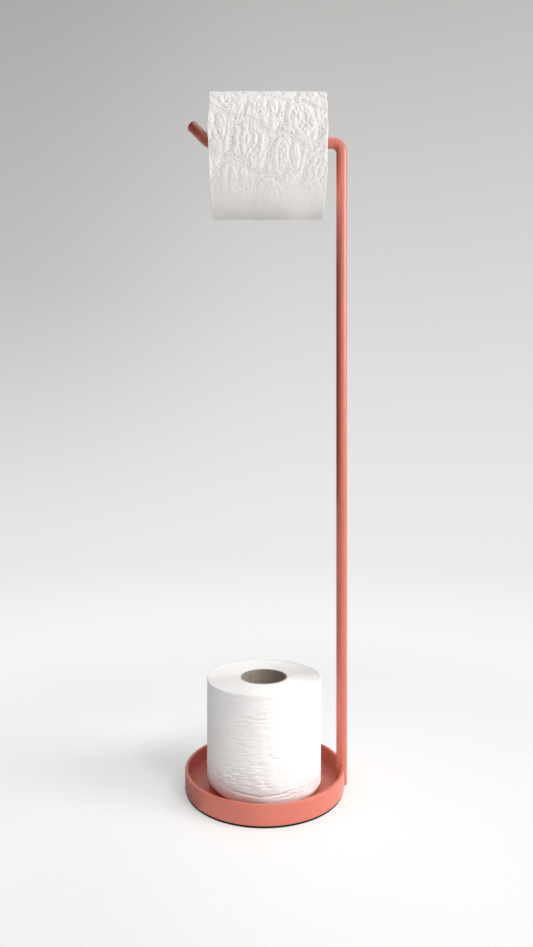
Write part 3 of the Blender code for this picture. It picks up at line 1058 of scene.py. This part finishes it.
def quilted_sheet(number, start_deg, end_deg, flap=False):
    """A length of the upper roll's outermost turn, from one angle to another; the flap has the free edge."""
    surface = upper_place.radius - upper_relief
    share, degrees, rows_side = sheet_grid(upper_place, surface, start_deg, end_deg)
    angle = np.radians(degrees)
    rounds = np.full(len(angle), upper_edge_round)
    r, z, nr, nz = edge_profile(surface, upper_place.half_length, rounds, upper_edge_round, 4, 4, rows_side)
    sink = lap_drop * (math.radians(flap_end_deg) - angle) / math.tau
    x_mm = 1000 * z
    s_mm = 1000 * surface * angle
    thin = smooth_step(degrees, *flap_thin_deg)
    thickness = upper_thickness + (flap_thickness - upper_thickness) * thin
    hidden_end = flap_end_deg - 360
    bare = smooth_step(degrees, hidden_end - 2, hidden_end + 35)
    soft = smooth_step(degrees, *soft_deg)
    height, dots = handled(x_mm, s_mm, degrees)
    height = height * (flat_share + (1 - flat_share) * bare)
    height = height * (1 + 0.7 * smooth_step(degrees, *deep_deg)) * (1 - 0.75 * soft)
    # The dots also mark the painted shade in the pits, which fades where the emboss is worn soft.
    dots = dots * (1 - 0.85 * soft)
    height = height_room - np.logaddexp(0, (0.55 - 0.3 * thin - height) * 7) / 7  # eases under its room
    height = np.maximum(height, -1.25 + 0.95 * thin) / 1000
    reach = left_reach[0] + left_reach[1] * crumple(s_mm, 0 * s_mm, *left_edge_waves)
    z = z - reach * smooth_step(-x_mm, *left_reach_mm) * smooth_step(degrees, *left_reach_deg)
    lift = 0 * angle
    if flap:
        curl = smooth_step(degrees, flap_end_deg - flap_curl_deg, flap_end_deg)
        waves = flap_curl + flap_curl * crumple(x_mm, 0 * angle, *curl_waves)
        lift = flap_lift * thin + curl * waves
        torn = 0.35 * np.abs(((x_mm / 3.6) % 1) - 0.5) + 0.25 * crumple(x_mm, 0 * angle, *tear_waves)
        angle = angle + smooth_step(share, 0.97, 1) * torn / 1000 / surface
    profile = (r - sink + lift, z, nr, nz)
    name = f"upper_sheet_{number}"
    sheet = raised_sheet(name, upper_place, profile, angle, height, thickness, dots, quilted_material)
    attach(sheet, "upper_roll")
    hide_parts("upper_roll_paper")


upper_place = RollPlace("upper_roll_paper", *upper_directions)
upper_core = RollPlace("upper_roll_core", *upper_directions)
upper_surface = upper_place.radius - upper_relief
laps_mesh, lap_r, lap_angle, lap_along = wound_laps(
    "upper_wound_laps",
    upper_core.radius + core_seat + lap_pitch / 2,
    upper_surface - upper_thickness - lap_pitch,
    flap_end_deg,
    upper_place.half_length - lap_end_inset,
    quilted_material,
)
laps_placed = upper_place.points(lap_r, lap_angle, lap_along)
placed_laps("upper_wound_laps", laps_mesh, laps_placed, "upper_roll", "upper_roll_paper")
quilted_sheet(1, flap_end_deg - 360 - overlap_deg, upper_joints_deg[1])
quilted_sheet(2, upper_joints_deg[1], upper_joints_deg[0])
quilted_sheet(3, upper_joints_deg[0], flap_end_deg, flap=True)


# Spare roll. Plainer, tighter tissue, its last sheet stuck down at the back. Handling has pressed it: long
# wavy creases run round it, its lower edge is crushed round, most on the left, and its top is dented at the
# right rear.
spare_relief = 0.0003
spare_thickness = 0.0008
spare_top_round = 0.0009
spare_end_deg = 98.0
spare_sheet_turn_deg = 128.0
spare_overlap_deg = 6.0
foot_round_mean = 0.0088
foot_round_swing = 0.0034
foot_round_widest_deg = 205.0
dent_deg = 42.0
dent_half_width_deg = 22.0
dent_depth = 0.0005
patch_spacing = (21.0, 17.0)  # of the patches of small dashes, round the roll and up it, in millimetres
dash_pitch = 2.1
# Each long crease is given by its lowest height and where that is, in degrees from the front, its bend, its
# depth and width, its middle, and how far to the sides of it the crease ends and is still whole.
long_creases = (
    (12.4, -2, 0.0023, 0.65, 0.8, -2, (38, 20)),
    (19.2, -8, 0.0058, 0.40, 0.7, -18, (26, 12)),
)
# Waves of the pressed sheets, in the same order as those of the upper roll
crinkle_lumps = (2.2, 5.5, 3.0, 30, 51)
crinkle_folds = (5, 12, 2.8, 18, 52)
crinkle_swells = (7, 20, 1.8, 14, 53)
crinkle_grain = (1.7, 2.6, 1.2, 20, 54)
pressed_patches = (9, 25, 1, 8, 55)
crease_waves = (12, 30, 1, 8, 56)
crinkle_patches = (12, 30, 1.6, 10, 57)
side_dents_deg = (3, 9)  # where a row of shallow dents runs up the right side, and how wide it is
side_dents_pitch = 13.0


def foot_round(angle):
    """How far the crushed lower edge is rounded at an angle."""
    return foot_round_mean + foot_round_swing * np.cos(angle - math.radians(foot_round_widest_deg))


def top_dent(radius, angle):
    """How far the top is pushed down, most near the outer edge at the right rear."""
    away = (np.degrees(angle) - dent_deg + 180) % 360 - 180
    near_edge = smooth_step(radius, 0.70 * spare_place.radius, 0.93 * spare_place.radius)
    return dent_depth * near_edge * np.exp(-((away / dent_half_width_deg) ** 2) * 2)


def crease(level, z_mm, width):
    """A pressed line with a soft roll of paper above it."""
    d = z_mm - level
    return -0.55 * np.exp(-((d / width) ** 2)) + 0.30 * np.exp(-(((d - 2.2 * width) / (2 * width)) ** 2))


def crinkles(z_mm, s_mm, degrees):
    """Height of the spare roll's surface in millimetres, and where its dashes get painted shade. z runs up
    from the tray, s round the roll.
    """
    patchy = 0.25 + 0.9 * smooth_step(crumple(z_mm, s_mm, *crinkle_patches), -0.8, 1.2)
    height = 0.14 * patchy * crumple(z_mm, s_mm, *crinkle_lumps)
    height -= 0.22 * patchy * valleys(crumple(z_mm, s_mm, *crinkle_folds), 0.22)
    height += 0.08 * crumple(z_mm, s_mm, *crinkle_swells)
    rough = 0.036 + 0.03 * smooth_step(degrees, -80, -130)  # most at the left
    height += rough * crumple(z_mm, s_mm, *crinkle_grain)
    uneven = 1 + 0.35 * crumple(z_mm, s_mm, *pressed_patches)
    row = np.floor(z_mm / patch_spacing[1])
    u = (s_mm / patch_spacing[0] + 0.5 * (row % 2)) % 1 - 0.5
    v = (z_mm / patch_spacing[1]) % 1 - 0.5
    du, dv = u * patch_spacing[0], v * patch_spacing[1]
    off_dash = (((du / dash_pitch) % 1) - 0.5) * dash_pitch
    dash = np.exp(-((off_dash / 0.45) ** 2)) * np.exp(-((dv / 1.5) ** 4))
    marks = smooth_step(uneven, 0.7, 1.2) * dash * np.exp(-((du / 4.2) ** 6))
    height = height - 0.10 * marks
    front = degrees + 90
    bent_z = z_mm + 0.3 * crumple(s_mm, z_mm, *crease_waves)
    for low_mm, low_deg, bend, depth, width, middle_deg, reach in long_creases:
        level = low_mm + bend * (front - low_deg) ** 2
        fade = smooth_step(np.abs(front - middle_deg), *reach)
        height = height + depth * uneven * crease(level, bent_z, width) * fade
    beside = np.exp(-(((degrees - side_dents_deg[0]) / side_dents_deg[1]) ** 2))
    dents = 0.32 * beside * np.sin(math.tau * z_mm / side_dents_pitch + 0.6) ** 2
    height = height - dents * smooth_step(z_mm, 60, 38) * smooth_step(z_mm, 10, 20)
    # The second value marks the dashes for painted shade.
    return np.clip(height, -0.7, 0.29), 0.3 * marks


def plain_sheet(number, start_deg, end_deg):
    """A length of the spare roll's outermost turn, from one angle to another."""
    surface = spare_place.radius - spare_relief
    share, turn_deg, rows_side = sheet_grid(spare_place, surface, start_deg, end_deg)
    angle = np.radians(turn_deg)
    foot_rounds = foot_round(angle)[:, 0]
    r, z, nr, nz = edge_profile(
        surface, spare_place.half_length, foot_rounds, spare_top_round, 26, 4, rows_side
    )
    sink = lap_drop * (math.radians(spare_end_deg) - angle) / math.tau
    degrees = (np.degrees(angle) + 180) % 360 - 180
    z_mm = 1000 * (z + spare_place.half_length)
    s_mm = 1000 * surface * angle
    height, marks = crinkles(z_mm, s_mm, degrees)
    height = height / 1000
    drop = top_dent(r, angle) * smooth_step(z_mm, 60, 97)
    profile = (r - sink, z - drop, nr, nz)
    name = f"spare_sheet_{number}"
    sheet = raised_sheet(name, spare_place, profile, angle, height, spare_thickness, marks, plain_material)
    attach(sheet, "spare_roll")
    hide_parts("spare_roll_paper")


spare_place = RollPlace("spare_roll_paper", *spare_directions)
spare_core = RollPlace("spare_roll_core", *spare_directions)
spare_surface = spare_place.radius - spare_relief
laps_mesh, lap_r, lap_angle, lap_along = wound_laps(
    "spare_wound_laps",
    spare_core.radius + core_seat + lap_pitch / 2,
    spare_surface - spare_thickness - lap_pitch,
    spare_end_deg,
    spare_place.half_length - lap_end_inset,
    plain_material,
)
rounding = foot_round(lap_angle)
past = np.clip(lap_r - (spare_surface - rounding), 0, None)
raised = rounding - np.sqrt(np.clip(rounding**2 - past**2, 0, None)) + spare_thickness * (past > 0)
lap_low = -spare_place.half_length + raised
lap_along = np.where(lap_along < 0, np.maximum(lap_along, lap_low), lap_along - top_dent(lap_r, lap_angle))
laps_placed = spare_place.points(lap_r, lap_angle, lap_along)
placed_laps("spare_wound_laps", laps_mesh, laps_placed, "spare_roll", "spare_roll_paper")
spare_second_start = spare_end_deg - 2 * spare_sheet_turn_deg
spare_third_start = spare_end_deg - spare_sheet_turn_deg
plain_sheet(1, spare_end_deg - 360 - spare_overlap_deg, spare_second_start)
plain_sheet(2, spare_second_start, spare_third_start)
plain_sheet(3, spare_third_start, spare_end_deg)


# The box round the shown pieces, with the stage left out.
low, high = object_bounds()
